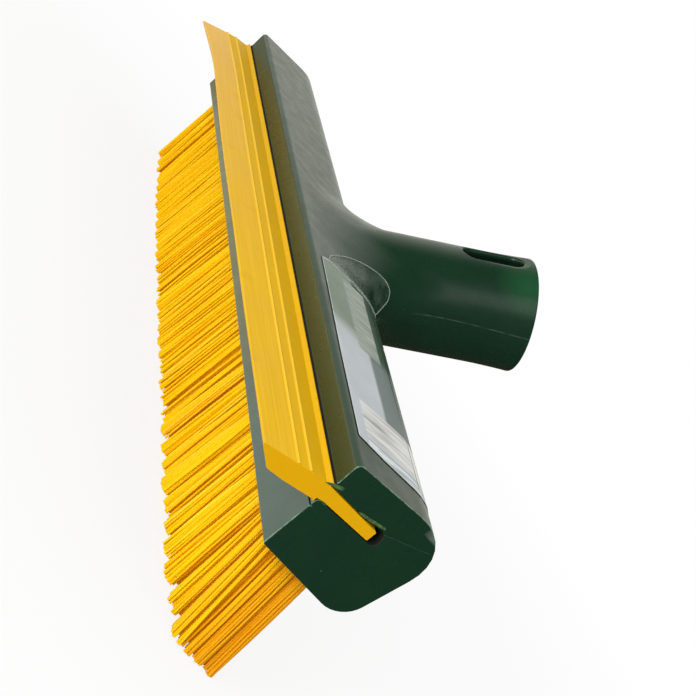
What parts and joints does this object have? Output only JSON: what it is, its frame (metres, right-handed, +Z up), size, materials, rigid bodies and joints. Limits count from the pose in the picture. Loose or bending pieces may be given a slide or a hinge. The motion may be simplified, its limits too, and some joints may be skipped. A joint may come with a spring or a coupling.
{
  "type": "broom head with squeegee",
  "caption": "Long broom head standing on its bristles, with a squeegee blade slid into a slot along its front and a slanted handle socket behind.",
  "frame": {"origin": "on the ground under the middle of the object's box", "axes": "+X along the head, -Y the squeegee's side, +Y the way the handle socket leans, +Z up from the bristle tips"},
  "size_m": [0.3, 0.1027, 0.0998],
  "materials": {
    "green_polypropylene": "injection moulded, satin with soft gloss",
    "yellow_rubber": "extruded, smooth and dull",
    "yellow_filament": "extruded filament, satin",
    "label_film": "clear film with a plain silvery panel, no printing"
  },
  "bodies": {
    "head": {"head_moulding": "green_polypropylene", "bristle_row_1": "yellow_filament", "bristle_row_2": "yellow_filament", "bristle_row_3": "yellow_filament", "bristle_row_4": "yellow_filament"},
    "blade": {"squeegee_blade": "yellow_rubber"}
  },
  "joints": [
    {"name": "blade_slide", "type": "slide", "parent": "head", "child": "blade", "axis": [1, 0, 0], "range_m": [-0.27, 0.27]}
  ]
}
